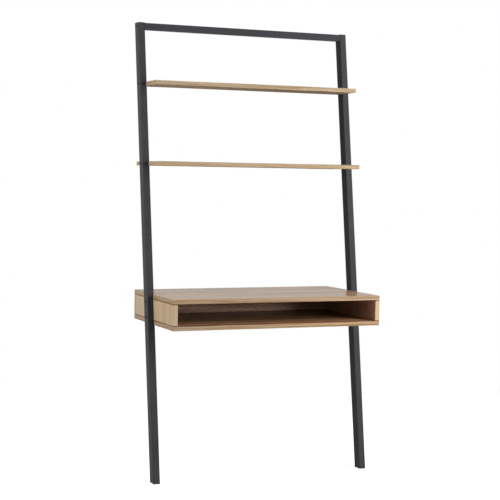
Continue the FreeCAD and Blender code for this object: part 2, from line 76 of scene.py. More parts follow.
def add(tree, kind, inputs=None, out=None, stops=(), **settings):
    """Adds one node and returns its first output, or the one called out.

    inputs maps a socket's name, identifier or place to a value, to an output, or to a list of outputs
    where the socket takes several. stops holds a colour ramp's first stop, its last one, and then
    those between.
    """
    made = tree.nodes.new(kind)
    for name, value in settings.items():
        setattr(made, name, value)
    for key, value in (inputs or {}).items():
        if isinstance(key, int):
            socket = made.inputs[key]
        else:
            socket = next(s for s in made.inputs if key in (s.identifier, s.name))
        if isinstance(value, bpy.types.NodeSocket):
            value = [value]
        if isinstance(value, list):
            for source in value:
                tree.links.new(source, socket)
        else:
            socket.default_value = value
    for place, (position, value) in enumerate(stops):
        ramp = made.color_ramp.elements
        stop = ramp[place] if place < 2 else ramp.new(position)
        stop.position = position
        stop.color = value
    if out is None:
        return made.outputs[0] if made.outputs else made
    return next(s for s in made.outputs if out in (s.identifier, s.name))


print("black #26262A is", [round(c, 4) for c in linear("#26262A")])

# %% [markdown]
# ## The camera
#
# The desk is seen from its left, a little below eye height and about 6 m away, with a lens long
# enough to keep its uprights nearly parallel. Turning, tilting and rolling could be one Euler
# rotation, but as three steps, one after another, they read as they do on a tripod head.

# %% Camera
CAMERA_PLACE = Vector((-2.2640, -5.4004, 1.2944))
CAMERA_TURN = math.radians(-22.463)
CAMERA_TILT = math.radians(-3.088)
CAMERA_ROLL = math.radians(0.9234)

lens = bpy.data.cameras.new("tripod_camera")
lens.sensor_width = 36
lens.lens = 96.2556
camera = bpy.data.objects.new("tripod_camera", lens)
bpy.context.collection.objects.link(camera)
pose = Matrix.Rotation(CAMERA_TURN, 4, "Z")
pose = pose @ Matrix.Rotation(math.pi / 2 + CAMERA_TILT, 4, "X")
pose = pose @ Matrix.Rotation(CAMERA_ROLL, 4, "Z")
camera.matrix_world = Matrix.Translation(CAMERA_PLACE) @ pose
bpy.context.scene.camera = camera
bpy.context.scene.view_settings.view_transform = "Standard"
print(f"camera {CAMERA_PLACE.length:.2f} m from the floor's middle, {lens.lens:.0f} mm lens")

# %% [markdown]
# ## The room
#
# A product studio is mostly white paper. A bright white world would do for it, but its light would
# wash the desk out: oak whose colour is to be read true needs a plain level of light.
#
# Light Path parts the two. Rays from the camera, and those that a surface mirrors or lets through,
# meet plain white. All others, which carry light to the desk, meet a much dimmer paper.


# %% Paper room
def seen_directly_or_mirrored(tree):
    """1 for camera rays, mirrored rays and transmitted rays."""
    rays = add(tree, "ShaderNodeLightPath").node.outputs
    seen = add(
        tree, "ShaderNodeMath",
        {0: rays["Is Camera Ray"], 1: rays["Is Glossy Ray"]},
        operation="MAXIMUM",
    )
    return add(tree, "ShaderNodeMath", {0: seen, 1: rays["Is Transmission Ray"]}, operation="MAXIMUM")


WHITE = linear("#FFFFFF")
ROOM_LIGHT = 0.3
room = bpy.data.worlds.new("paper_room")
room.use_nodes = True
tree = room.node_tree
tree.nodes.clear()
lit = add(tree, "ShaderNodeBackground", {"Color": WHITE, "Strength": ROOM_LIGHT})
paper = add(tree, "ShaderNodeBackground", {"Color": WHITE, "Strength": 1.0})
shown = add(tree, "ShaderNodeMixShader", {0: seen_directly_or_mirrored(tree), 1: lit, 2: paper})
add(tree, "ShaderNodeOutputWorld", {"Surface": shown})
bpy.context.scene.world = room
print("room light", ROOM_LIGHT)

# %% [markdown]
# ## The floor
#
# The floor is pale matt paper that keeps the desk's soft shadow. Lit by the lamps alone it would
# come out grey, so near the desk it also glows by what it lacks to white. Further out it turns into
# plain white, as the backdrop is, so no horizon shows. The glow reaches the eye and the mirrors
# only, never the desk.

# %% Paper floor
# radii in metres
FLOOR_RADIUS = 30.0
SHADOW_RADIUS = 1.2
WHITE_RADIUS = 3.0
FLOOR_SIDES = 96
FLOOR_GLOW = 0.74

floor_mesh = bpy.data.meshes.new("floor")
shape = bmesh.new()
bmesh.ops.create_circle(shape, cap_ends=True, radius=FLOOR_RADIUS, segments=FLOOR_SIDES)
shape.to_mesh(floor_mesh)
shape.free()
floor = bpy.data.objects.new("floor", floor_mesh)
bpy.context.collection.objects.link(floor)

floor_paper = bpy.data.materials.new("floor_paper")
floor_paper.use_nodes = True
tree = floor_paper.node_tree
tree.nodes.clear()
place = add(tree, "ShaderNodeTexCoord", out="Object")
from_desk = add(tree, "ShaderNodeVectorMath", {0: place}, out="Value", operation="LENGTH")
turned_white = add(
    tree, "ShaderNodeMapRange",
    {"Value": from_desk, "From Min": SHADOW_RADIUS, "From Max": WHITE_RADIUS},
    interpolation_type="SMOOTHSTEP",
)
matt = add(tree, "ShaderNodeBsdfDiffuse", {"Color": linear("#C8C8C6")})
glow = add(tree, "ShaderNodeEmission", {"Strength": FLOOR_GLOW})
near = add(tree, "ShaderNodeAddShader", {0: matt, 1: glow})
far = add(tree, "ShaderNodeEmission", {"Strength": 1.0})
paper = add(tree, "ShaderNodeMixShader", {0: turned_white, 1: near, 2: far})
shown = add(tree, "ShaderNodeMixShader", {0: seen_directly_or_mirrored(tree), 1: matt, 2: paper})
add(tree, "ShaderNodeOutputMaterial", {"Surface": shown})
floor_mesh.materials.append(floor_paper)
print(f"floor {2 * FLOOR_RADIUS:.0f} m across, its shadow kept within {SHADOW_RADIUS} m")

# %% [markdown]
# ## The lamps
#
# Six soft boxes, hung as a furniture studio hangs them, because a sun or a spot would draw hard
# shadows of the thin tubes. The two at front right do most of the work: they light every face that
# looks forward, more so towards the right. The others fill. One high in front opens up the desk's
# top, and two behind keep the back from going black. The one at the left hangs close to the near
# leg, so its light falls off fast: it reaches the outer sides and the box's side, and leaves the
# inner side of the far leg dark.
#
# A lamp is far brighter than paper. Seen from behind, its mirror image would burn a white patch
# into each lacquered board, so the boxes are hidden from mirror rays, and the surfaces mirror the
# paper alone.

# %% Soft boxes
SOFT_BOXES = {
    # name: place, aimed at, width and height in metres, watts
    "key": ((2.0, -4.0, 1.2), (0.0, 0.0, 0.85), (1.1, 1.2), 58),
    "front_right": ((1.6, -2.0, 1.9), (0.45, 0.0, 1.35), (0.6, 1.6), 73),
    "front_high": ((-0.9, -3.4, 2.4), (0.0, 0.0, 0.8), (1.6, 1.0), 8),
    "left": ((-1.65, 0.0, 1.4), (-0.45, 0.0, 1.2), (0.7, 2.2), 19),
    "back_left": ((-1.7, 1.7, 2.1), (-0.4, 0.0, 1.4), (0.9, 1.4), 3),
    "back_right": ((3.2, 2.4, 1.8), (0.0, 0.0, 1.0), (2.0, 2.0), 32),
}
for name, (place, aim, (width, height), watts) in SOFT_BOXES.items():
    lamp = bpy.data.lights.new(name, "AREA")
    lamp.shape = "RECTANGLE"
    lamp.size = width
    lamp.size_y = height
    lamp.energy = watts
    holder = bpy.data.objects.new(name, lamp)
    holder.visible_camera = False
    holder.visible_glossy = False
    bpy.context.collection.objects.link(holder)
    towards = Vector(aim) - Vector(place)
    turn = towards.to_track_quat("-Z", "Y").to_matrix().to_4x4()
    holder.matrix_world = Matrix.Translation(place) @ turn
print(len(SOFT_BOXES), "soft boxes")

# %% [markdown]
# ## Starting and ending a finish
#
# Every finish starts empty and ends alike: a height drives the bump, and the bump, a colour and a
# roughness go into one Principled shader. Diffuse and glossy shaders could be mixed by hand
# instead, but Principled keeps their light in balance. What is even all over a surface is a plain
# value on the shader's own socket.


# %% Finish helpers
def new_finish(name):
    finish = bpy.data.materials.new(name)
    finish.use_nodes = True
    finish.node_tree.nodes.clear()
    return finish, finish.node_tree


def end_finish(tree, colour, roughness, height, strength, depth, even):
    """strength and depth, in metres, are the bump's, and even holds what is even all over."""
    relief = add(tree, "ShaderNodeBump", {"Height": height, "Strength": strength, "Distance": depth})
    inputs = {"Base Color": colour, "Roughness": roughness, "Normal": relief, **even}
    surface = add(tree, "ShaderNodeBsdfPrincipled", inputs)
    add(tree, "ShaderNodeOutputMaterial", {"Surface": surface})


def dress(finish, *names):
    for name in names:
        solids[name].material_slots[0].material = finish
    print(f"{finish.name}: {', '.join(names)}")


print("finish helpers ready")

# %% [markdown]
# ## Powder-coated steel
#
# The legs, the crossbar and the two wall brackets are mild steel sprayed with black polyester
# powder and baked at about 190 °C. The powder melts into a skin 0.08 mm thick whose surface keeps a
# shallow ripple, 1 to 2 mm from crest to crest, called orange peel. The ripple blurs what the skin
# mirrors, so the tubes look satin.
#
# A painted surface isn't a metal to the eye, so Metallic stays 0. The IOR is that of cured
# polyester, 1.5. Matting wax in the powder spoils most of the mirror, which Specular IOR Level
# says: in a room of white paper, a full mirror would turn every side that is seen at a low angle
# grey. The colour is a soft black, a little uneven in depth from one hand's width to the next. The
# ripple is a noise, read from object coordinates, that drives the bump. It could be real relief,
# but that would take millions of facets.

# %% Powder coat
ORANGE_PEEL = 1.6 * MM
COAT_CLOUD = 111.1 * MM

powder_coat, tree = new_finish("satin_black_powder_coat")
place = add(tree, "ShaderNodeTexCoord", out="Object")
peel = add(tree, "ShaderNodeTexNoise", {"Vector": place, "Scale": 1 / ORANGE_PEEL, "Detail": 1.0})
cloud = add(tree, "ShaderNodeTexNoise", {"Vector": place, "Scale": 1 / COAT_CLOUD, "Detail": 3.0})
colour = add(
    tree, "ShaderNodeMix",
    {"Factor_Float": cloud, "A_Color": linear("#37373B"), "B_Color": linear("#424245")},
    out="Result_Color", data_type="RGBA",
)
dullness = add(
    tree, "ShaderNodeMapRange",
    {"Value": cloud, "From Min": 0.3, "From Max": 0.7, "To Min": 0.27, "To Max": 0.33},
)
gloss = {"IOR": 1.5, "Specular IOR Level": 0.008}
end_finish(tree, colour, dullness, peel, strength=0.12, depth=0.05 * MM, even=gloss)
dress(powder_coat, "left_leg", "right_leg", "top_crossbar", "left_wall_bracket", "right_wall_bracket")

# %% [markdown]
# ## Oak veneer: which way the grain runs
#
# The boards are particle board faced with 0.6 mm crown-cut oak and edged with strips of the same
# oak. A veneered board isn't solid wood: its grain runs along the board on the faces and along the
# strip on every edge, so no end grain shows anywhere.
#
# A solid wood texture would show end grain, and a picture of oak would need every board unwrapped.
# So each board is described by two axes, the one its face looks along and the one its grain runs
# along, and the shader picks its two pattern coordinates from the side of the board that it is on.

# %% Grain directions
FACING = 0.75  # a side looks along an axis when its normal's part along it is more than this


def veneer_coordinates(tree, face, grain):
    """Metres along the grain, metres across it, and 1 on the broad faces."""
    cross = ({"X", "Y", "Z"} - {face, grain}).pop()
    place = add(tree, "ShaderNodeTexCoord", out="Object")
    axes = add(tree, "ShaderNodeSeparateXYZ", {0: place}).node.outputs
    normal = add(tree, "ShaderNodeNewGeometry", out="True Normal")
    size = add(tree, "ShaderNodeVectorMath", {0: normal}, operation="ABSOLUTE")
    facing = add(tree, "ShaderNodeSeparateXYZ", {0: size}).node.outputs
    on_face = add(tree, "ShaderNodeMath", {0: facing[face], 1: FACING}, operation="GREATER_THAN")
    on_end = add(tree, "ShaderNodeMath", {0: facing[grain], 1: FACING}, operation="GREATER_THAN")
    along = add(
        tree, "ShaderNodeMix", {"Factor_Float": on_end, "A_Float": axes[grain], "B_Float": axes[cross]}
    )
    across = add(
        tree, "ShaderNodeMix", {"Factor_Float": on_face, "A_Float": axes[face], "B_Float": axes[cross]}
    )
    return along, across, on_face


print("grain helper ready")

# %% [markdown]
# ## Oak veneer: leaves
#
# Crown-cut veneer is sliced from a log like pages from a book, and leaves about 160 mm wide are
# laid side by side. One endless pattern would show no joins, so the distance across the grain is
# cut into leaves, and each leaf draws three chance numbers. The first moves its heart line, which
# is the middle of its arches. The second says where along the log it was cut, and the third makes
# it lighter or darker.

# %% Leaves of veneer
HEART_LINE = 0.35  # a heart line lies this share of the leaf's width from its edge, or up to
HEART_PLAY = 0.3  # this much further in
LOG_LENGTH = 3.0  # metres


def leaf_places(tree, board, seed, along, across):
    """Metres from the heart line, metres along the log, and a chance number for the tone."""
    leaf = add(tree, "ShaderNodeMath", {0: across, 1: board["first_edge"]}, operation="SUBTRACT")
    leaf = add(tree, "ShaderNodeMath", {0: leaf, 1: board["leaf_width"]}, operation="DIVIDE")
    number = add(tree, "ShaderNodeMath", {0: leaf}, operation="FLOOR")
    chance = add(
        tree, "ShaderNodeTexWhiteNoise",
        {"W": number, "Vector": (seed, 0, 0)},
        out="Color", noise_dimensions="4D",
    )
    chances = add(tree, "ShaderNodeSeparateXYZ", {0: chance}).node.outputs
    share = add(tree, "ShaderNodeMath", {0: leaf}, operation="FRACT")
    share = add(tree, "ShaderNodeMath", {0: share, 1: HEART_LINE}, operation="SUBTRACT")
    share = add(
        tree, "ShaderNodeMath", {0: chances[0], 1: -HEART_PLAY, 2: share}, operation="MULTIPLY_ADD"
    )
    from_heart = add(tree, "ShaderNodeMath", {0: share, 1: board["leaf_width"]}, operation="MULTIPLY")
    along_log = add(
        tree, "ShaderNodeMath", {0: chances[1], 1: LOG_LENGTH, 2: along}, operation="MULTIPLY_ADD"
    )
    return from_heart, along_log, chances[2]


print("leaf helper ready")

# %% [markdown]
# ## Oak veneer: growth rings
#
# Down the middle of a leaf the knife runs nearly along the growth rings, which open into the nested
# arches called cathedrals. Towards its edges the rings stand steeper and close up into straight
# lines. Stretched noise could only hint at that, but it is plain geometry, so it is written as
# geometry: the distance from the log's heart is the root of the distance across the leaf and of its
# depth, squared, plus a little taper along the trunk. A slow noise lets the rings stray, as they do
# in a tree. A narrow edge strip is cut at another slant, so its lines are straight and lie wider
# apart.
#
# Oak is ring-porous: each ring starts with a band of open pores and ends in smooth dense wood. A
# colour ramp draws that year, because its stops can be moved by eye where a formula can't.

# %% Growth rings
HEART_DEPTH = 30 * MM
EDGE_TAPER = 0.012
EDGE_SLANT = 0.6
STRAY = 26 * MM
STRAY_LENGTH = 333.3 * MM
STRAY_WIDTH = 62.5 * MM
# how open the pores are at a year's start, at its end, and at two times between
OPEN_PORES = ((0.0, 1.0), (1.0, 0.75), (0.35, 0.35), (0.8, 0.0))


def growth_rings(tree, board, grid, along_log, across, from_heart, on_face):
    """From 0 in dense wood to 1 among the open pores."""
    square = add(tree, "ShaderNodeMath", {0: from_heart, 1: 2.0}, operation="POWER")
    square = add(tree, "ShaderNodeMath", {0: square, 1: HEART_DEPTH**2}, operation="ADD")
    arch = add(tree, "ShaderNodeMath", {0: square}, operation="SQRT")
    arch = add(
        tree, "ShaderNodeMath", {0: along_log, 1: board["taper"], 2: arch}, operation="MULTIPLY_ADD"
    )
    line = add(
        tree, "ShaderNodeMath", {0: along_log, 1: EDGE_TAPER, 2: across}, operation="MULTIPLY_ADD"
    )
    line = add(tree, "ShaderNodeMath", {0: line, 1: EDGE_SLANT}, operation="MULTIPLY")
    radius = add(tree, "ShaderNodeMix", {"Factor_Float": on_face, "A_Float": line, "B_Float": arch})

    stray_scale = (1 / STRAY_LENGTH, 1 / STRAY_WIDTH, 1.0)
    stray_grid = add(tree, "ShaderNodeMapping", {"Vector": grid, "Scale": stray_scale})
    stray = add(tree, "ShaderNodeTexNoise", {"Vector": stray_grid, "Scale": 1.0, "Detail": 3.0})
    radius = add(tree, "ShaderNodeMath", {0: stray, 1: STRAY, 2: radius}, operation="MULTIPLY_ADD")

    rings = add(tree, "ShaderNodeMath", {0: radius, 1: board["ring_width"]}, operation="DIVIDE")
    year = add(tree, "ShaderNodeMath", {0: rings}, operation="FRACT")
    stops = [(time, (open_share, open_share, open_share, 1.0)) for time, open_share in OPEN_PORES]
    return add(tree, "ShaderNodeValToRGB", {"Fac": year}, stops=stops)


print("open pores through a year:", *(f"{open_share:.0%}" for _, open_share in sorted(OPEN_PORES)))

# %% [markdown]
# ## Oak veneer: pores and tone
#
# The pores are dashes along the grain, which stain and lacquer leave dark. They are 0.3 mm wide on
# real oak, too fine to show, and are drawn 1 mm wide. Between the rings the wood changes slowly, in
# pale streaks a few rings wide, and no leaf has quite the tone of the next.
#
# All of that could be mixed as colours, one over another. Added up as one number instead, from 0
# for light to 1 for dark, it can drive the oak's own colours on the outside and the stain's colours
# on the inside.

# %% Pores and tone
PORE_WIDTH = 1.0 * MM
PORE_LENGTH = 22 * MM
PORE_LIMITS = (0.52, 0.7)  # where in the noise a pore starts, and where it is deepest
PORE_CONTRAST = 0.3
STREAK_LENGTH = 833.3 * MM
STREAK_RINGS = 5.556  # a streak's width, in rings
STREAK_CONTRAST = 2.0
LEAF_CONTRAST = 0.22
PLAIN_TONE = -0.78  # takes the sum back to a light oak


def pores_and_tone(tree, board, grid, open_pores, leaf_chance):
    """The pores, and how dark the board is drawn, its painted light and shade included, both from 0 to
    1.
    """
    pore_scale = (1 / PORE_LENGTH, 1 / PORE_WIDTH, 1.0)
    pore_grid = add(tree, "ShaderNodeMapping", {"Vector": grid, "Scale": pore_scale})
    pore = add(tree, "ShaderNodeTexNoise", {"Vector": pore_grid, "Scale": 1.0, "Detail": 2.0})
    start, deepest = PORE_LIMITS
    pore = add(tree, "ShaderNodeMapRange", {"Value": pore, "From Min": start, "From Max": deepest})
    pore = add(tree, "ShaderNodeMath", {0: pore, 1: open_pores}, operation="MULTIPLY")

    streak_scale = (1 / STREAK_LENGTH, 1 / (STREAK_RINGS * board["ring_width"]), 1.0)
    streak_grid = add(tree, "ShaderNodeMapping", {"Vector": grid, "Scale": streak_scale})
    streak = add(tree, "ShaderNodeTexNoise", {"Vector": streak_grid, "Scale": 1.0, "Detail": 4.0})
    # the board's shade is painted light and shade, set per board against how the lamps light it
    tone = board["painted_light_and_shade"] + PLAIN_TONE
    for darkness, contrast in (
        (streak, STREAK_CONTRAST),
        (open_pores, board["ring_contrast"]),
        (leaf_chance, LEAF_CONTRAST),
        (pore, PORE_CONTRAST),
    ):
        tone = add(
            tree, "ShaderNodeMath", {0: darkness, 1: contrast, 2: tone}, operation="MULTIPLY_ADD"
        )
    return pore, add(tree, "ShaderNodeClamp", {"Value": tone})


print(f"pores {PORE_WIDTH / MM:.0f} x {PORE_LENGTH / MM:.0f} mm")

# %% [markdown]
# ## Oak veneer: colour, stain and joints
#
# The tone blends a pale oak into a brown one, and long amber bands lie over both. The inside of the
# box is stained walnut brown. The stain soaks into the same grain, so it takes its light and its
# dark from the same tone.
#
# Where the box's sides meet its bottom and top, the shadow gap between the boards shows as a dark
# line. The solids touch there, so the shader draws it, at the joint's height. A real gap of 0.3 mm
# is too fine to show, and it is drawn 3 mm wide.

# %% Colour of the boards
OAK_LIGHT = linear("#AEA08A")
OAK_DARK = linear("#876B4D")
OAK_AMBER = linear("#B8946A")
JOINT_SHADE = linear("#5E3014")
JOINT_HALF_WIDTH = 1.6 * MM
BAND_LENGTH = 1111 * MM
BAND_WIDTH = 90.9 * MM
BAND_START = (5.0, 5.0, 0.0)  # keeps the bands from following the other noises
SAME_WAY = 0.9  # a side looks a given way when its normal's part that way is more than this


def looks_towards(tree, way):
    """1 on the sides that look towards way."""
    normal = add(tree, "ShaderNodeNewGeometry", out="True Normal")
    share = add(tree, "ShaderNodeVectorMath", {0: normal, 1: way}, out="Value", operation="DOT_PRODUCT")
    return add(tree, "ShaderNodeMath", {0: share, 1: SAME_WAY}, operation="GREATER_THAN")


def amber_bands(tree, board, grid):
    scale = (1 / BAND_LENGTH, 1 / BAND_WIDTH, 1.0)
    band_grid = add(tree, "ShaderNodeMapping", {"Vector": grid, "Scale": scale, "Location": BAND_START})
    band = add(tree, "ShaderNodeTexNoise", {"Vector": band_grid, "Scale": 1.0, "Detail": 2.0})
    least, most = board["amber"]
    return add(
        tree, "ShaderNodeMapRange",
        {"Value": band, "From Min": 0.45, "From Max": 0.7, "To Min": least, "To Max": most},
    )


def oak_colour(tree, board, grid, tone):
    layers = [(tone, OAK_DARK), (amber_bands(tree, board, grid), OAK_AMBER)]
    place = add(tree, "ShaderNodeTexCoord", out="Object")
    height = add(tree, "ShaderNodeSeparateXYZ", {0: place}).node.outputs["Z"]
    for joint in board["joints"]:
        near = add(
            tree, "ShaderNodeMath", {0: height, 1: joint, 2: JOINT_HALF_WIDTH}, operation="COMPARE"
        )
        layers.append((near, JOINT_SHADE))
    if board["stained_side"]:
        light, dark = board["stain"]
        stained = add(
            tree, "ShaderNodeMix",
            {"Factor_Float": tone, "A_Color": light, "B_Color": dark},
            out="Result_Color", data_type="RGBA",
        )
        layers.append((looks_towards(tree, board["stained_side"]), stained))

    colour = OAK_LIGHT
    for cover, layer in layers:
        colour = add(
            tree, "ShaderNodeMix",
            {"Factor_Float": cover, "A_Color": colour, "B_Color": layer},
            out="Result_Color", data_type="RGBA",
        )
    return colour


print(f"joint lines {2 * JOINT_HALF_WIDTH / MM:.1f} mm wide")

# %% [markdown]
# ## Oak veneer: the boards and their lacquer
#
# A satin lacquer lies over everything. Its IOR is 1.45 and its roughness about 0.25, a little more
# in the pores and far more on the undersides, which are sealed but not polished. A matting agent
# weakens its mirror, as in the powder coat, so Specular IOR Level is low again.
#
# One material for all boards would be less work, but its leaves would run on from board to board,
# as no real set of boards does. So a function writes one for each board, from a table of what
# differs.

# %% Oak boards
BACK_STAIN = (linear("#D6B199"), linear("#564031"))
WALNUT_STAIN = (linear("#C2997C"), linear("#825E47"))
FLOOR_STAIN = (linear("#BF9877"), linear("#805D42"))
JOINT_BELOW, JOINT_ABOVE = (corner.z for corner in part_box("desk_left_side"))

# face and grain are axes. first_edge is where the first leaf starts, in metres across the grain, and
# taper is how fast the log narrows. A higher shade is darker and a negative one lighter: this is
# painted shade and painted light, set board by board to even out how the lamps light each board.
# amber is how much of it there is, at the least and at the most.
PLAIN_BOARD = {
    "face": "Z", "grain": "X", "leaf_width": 160 * MM, "taper": 0.045,
    "ring_width": 7 * MM, "ring_contrast": 0.42, "painted_light_and_shade": 0.0, "amber": (0.0, 0.5),
    "stained_side": None, "stain": WALNUT_STAIN, "joints": (),
}
SIDE_BOARD = {
    "face": "X", "grain": "Z", "leaf_width": 80 * MM, "taper": 0.02,
    # the sides' shade of -0.4 is painted light: paler wood in place of light that the lamps don't give
    # them
    "ring_width": 15 * MM, "ring_contrast": 0.25, "painted_light_and_shade": -0.4, "amber": (0.3, 0.7),
    "joints": (JOINT_BELOW, JOINT_ABOVE),
}
# the shades of the shelves, the top and the bottom are painted shade, darkening them against the strong
# light of the front lamps
OAK_BOARDS = {
    "upper_shelf": {"first_edge": 0.01, "painted_light_and_shade": 0.08},
    "lower_shelf": {"first_edge": -0.04, "painted_light_and_shade": 0.14},
    "desk_top": {
        "first_edge": -0.02, "painted_light_and_shade": 0.15, "stained_side": (0, 0, -1), "joints": (JOINT_ABOVE,),
    },
    "desk_bottom": {
        "first_edge": 0.03, "ring_contrast": 0.6, "painted_light_and_shade": 0.2, "amber": (0.0, 0.3),
        "stained_side": (0, 0, 1), "stain": FLOOR_STAIN, "joints": (JOINT_BELOW,),
    },
    "desk_left_side": {**SIDE_BOARD, "first_edge": -0.204, "stained_side": (1, 0, 0)},
    "desk_right_side": {**SIDE_BOARD, "first_edge": -0.190, "stained_side": (-1, 0, 0)},
    "desk_back": {
        "face": "Y", "first_edge": 0.70, "taper": -0.14, "ring_width": 8 * MM, "ring_contrast": 0.5,
        "stained_side": (0, -1, 0), "stain": BACK_STAIN,
    },
}
print(f"joints at {JOINT_BELOW:.3f} and {JOINT_ABOVE:.3f} m")

# %% Lacquered boards
LACQUER_ROUGHNESS = 0.24
PORE_ROUGHNESS = 0.08
UNDERSIDE_ROUGHNESS = 0.45


def oak_veneer(name, seed, board):
    finish, tree = new_finish(f"lacquered_oak_{name}")
    along, across, on_face = veneer_coordinates(tree, board["face"], board["grain"])
    from_heart, along_log, leaf_chance = leaf_places(tree, board, seed, along, across)
    grid = add(tree, "ShaderNodeCombineXYZ", {"X": along_log, "Y": across, "Z": seed})
    open_pores = growth_rings(tree, board, grid, along_log, across, from_heart, on_face)
    pore, tone = pores_and_tone(tree, board, grid, open_pores, leaf_chance)
    colour = oak_colour(tree, board, grid, tone)

    dullness = add(
        tree, "ShaderNodeMath",
        {0: pore, 1: PORE_ROUGHNESS, 2: LACQUER_ROUGHNESS},
        operation="MULTIPLY_ADD",
    )
    underside = looks_towards(tree, (0, 0, -1))
    dullness = add(
        tree, "ShaderNodeMath",
        {0: underside, 1: UNDERSIDE_ROUGHNESS, 2: dullness},
        operation="MULTIPLY_ADD",
    )
    hollow = add(tree, "ShaderNodeMath", {0: pore, 1: -1.0}, operation="MULTIPLY")
    gloss = {"IOR": 1.45, "Specular IOR Level": 0.025}
    end_finish(tree, colour, dullness, hollow, strength=0.15, depth=0.05 * MM, even=gloss)
    return finish


for seed, (name, board) in enumerate(OAK_BOARDS.items(), 1):
    dress(oak_veneer(name, float(seed), {**PLAIN_BOARD, **board}), name)

# %% [markdown]
# ## Moulded plastic
#
# The caps and the feet are injection-moulded polypropylene, black right through, with faint marks
# where the melt flowed. The mould is spark-eroded, which leaves an even grain about 0.4 mm across,
# so the plastic is duller than the paint beside it. The grain could be a bump alone, but it
# scatters light too, so the same noise drives bump and roughness.

# %% Plastic
MOULD_GRAIN = 0.4 * MM
FLOW_MARK = 16.67 * MM

plastic, tree = new_finish("moulded_black_polypropylene")
place = add(tree, "ShaderNodeTexCoord", out="Object")
grain = add(tree, "ShaderNodeTexNoise", {"Vector": place, "Scale": 1 / MOULD_GRAIN, "Detail": 1.0})
flow = add(tree, "ShaderNodeTexNoise", {"Vector": place, "Scale": 1 / FLOW_MARK, "Detail": 2.0})
colour = add(
    tree, "ShaderNodeMix",
    {"Factor_Float": flow, "A_Color": linear("#17171A"), "B_Color": linear("#202023")},
    out="Result_Color", data_type="RGBA",
)
dullness = add(tree, "ShaderNodeMapRange", {"Value": grain, "To Min": 0.5, "To Max": 0.65})
end_finish(tree, colour, dullness, grain, strength=0.2, depth=0.03 * MM, even={"IOR": 1.49})
dress(plastic, "left_top_cap", "right_top_cap", "left_foot", "right_foot")

# %% [markdown]
# ## Zinc plate
#
# The plates in the crossbar's ends, the sleeves in the box and the bracket screws are steel, plated
# with zinc in a bath. The zinc grows in crystals a few millimetres across, and each crystal has a
# gloss of its own. Noise would blur them into clouds, so a Voronoi pattern, which has cells with
# edges, sets colour and roughness. Fine scratches from the drum drive the bump. It is bare metal,
# so Metallic is 1.

# %% Zinc
ZINC_CRYSTAL = 3 * MM
DRUM_SCRATCH = 0.5 * MM

zinc, tree = new_finish("bright_zinc_plate")
place = add(tree, "ShaderNodeTexCoord", out="Object")
cells = add(tree, "ShaderNodeTexVoronoi", {"Vector": place, "Scale": 1 / ZINC_CRYSTAL}, out="Color")
crystal = add(tree, "ShaderNodeSeparateXYZ", {0: cells})
scratch = add(tree, "ShaderNodeTexNoise", {"Vector": place, "Scale": 1 / DRUM_SCRATCH, "Detail": 2.0})
colour = add(
    tree, "ShaderNodeMix",
    {"Factor_Float": crystal, "A_Color": linear("#B4B8BC"), "B_Color": linear("#C8CACA")},
    out="Result_Color", data_type="RGBA",
)
dullness = add(tree, "ShaderNodeMapRange", {"Value": crystal, "To Min": 0.28, "To Max": 0.4})
end_finish(tree, colour, dullness, scratch, strength=0.15, depth=0.02 * MM, even={"Metallic": 1.0})
dress(
    zinc,
    "left_crossbar_end_plate", "right_crossbar_end_plate", "desk_inserts", "wall_bracket_screws",
)

# %% [markdown]
# ## Black oxide
#
# The bolts and the shelf screws are blackened in a hot salt bath and oiled. The skin is thinner
# than a wavelength, so they keep the look of metal, near black, with a cloudy gloss where the oil
# has settled. Paint would hide the metal, so this is a dark metallic and not a black plastic.

# %% Black oxide
OIL_PATCH = 2 * MM

black_oxide, tree = new_finish("black_oxide_steel")
place = add(tree, "ShaderNodeTexCoord", out="Object")
oil = add(tree, "ShaderNodeTexNoise", {"Vector": place, "Scale": 1 / OIL_PATCH, "Detail": 3.0})
colour = add(
    tree, "ShaderNodeMix",
    {"Factor_Float": oil, "A_Color": linear("#2A2A2C"), "B_Color": linear("#403F40")},
    out="Result_Color", data_type="RGBA",
)
dullness = add(tree, "ShaderNodeMapRange", {"Value": oil, "To Min": 0.32, "To Max": 0.5})
end_finish(tree, colour, dullness, oil, strength=0.1, depth=0.02 * MM, even={"Metallic": 1.0})
dress(black_oxide, "crossbar_bolts", "upper_shelf_screws", "lower_shelf_screws", "desk_bolts")

# %% [markdown]
# ## Birch plywood
#
# The loose tongues that line the box's joints up are birch plywood, bare and sanded. Its plies are
# 0.6 mm thick, pale wood and darker glue by turns. Noise squeezed flat in height gives layers that
# are never quite even, which stripes from a wave pattern would be.

# %% Plywood
PLY_THICKNESS = 0.6 * MM
FIBRE_LENGTH = 8 * MM

plywood, tree = new_finish("birch_plywood")
place = add(tree, "ShaderNodeTexCoord", out="Object")
plies = (1 / FIBRE_LENGTH, 1 / FIBRE_LENGTH, 1 / PLY_THICKNESS)
fibre_grid = add(tree, "ShaderNodeMapping", {"Vector": place, "Scale": plies})
fibre = add(tree, "ShaderNodeTexNoise", {"Vector": fibre_grid, "Scale": 1.0, "Detail": 2.0})
colour = add(
    tree, "ShaderNodeMix",
    {"Factor_Float": fibre, "A_Color": linear("#DCC59C"), "B_Color": linear("#B4936A")},
    out="Result_Color", data_type="RGBA",
)
dullness = add(tree, "ShaderNodeMapRange", {"Value": fibre, "To Min": 0.6, "To Max": 0.8})
end_finish(tree, colour, dullness, fibre, strength=0.3, depth=0.1 * MM, even={"IOR": 1.5})
dress(plywood, "side_panel_tongues", "back_panel_tongues")

# %% [markdown]
# ## Fasteners: one tree for all of them
#
# M6 button-head bolts pull the crossbar and the desk box against the legs. The shelves hang on long
# screws with the same head and a coarse thread that bites straight into the board, and two small
# pan-head screws hold the wall brackets. All of them are cold-headed from wire: a punch forms the
# head and its recess, and flat dies roll the thread, which leaves crests wider than the bare shank.
#
# Each kind could be modelled by hand, but they differ only in measurements, so one Geometry Nodes
# tree makes them all, along its Z axis and with the top of the head at 0. Its inputs are those
# measurements.

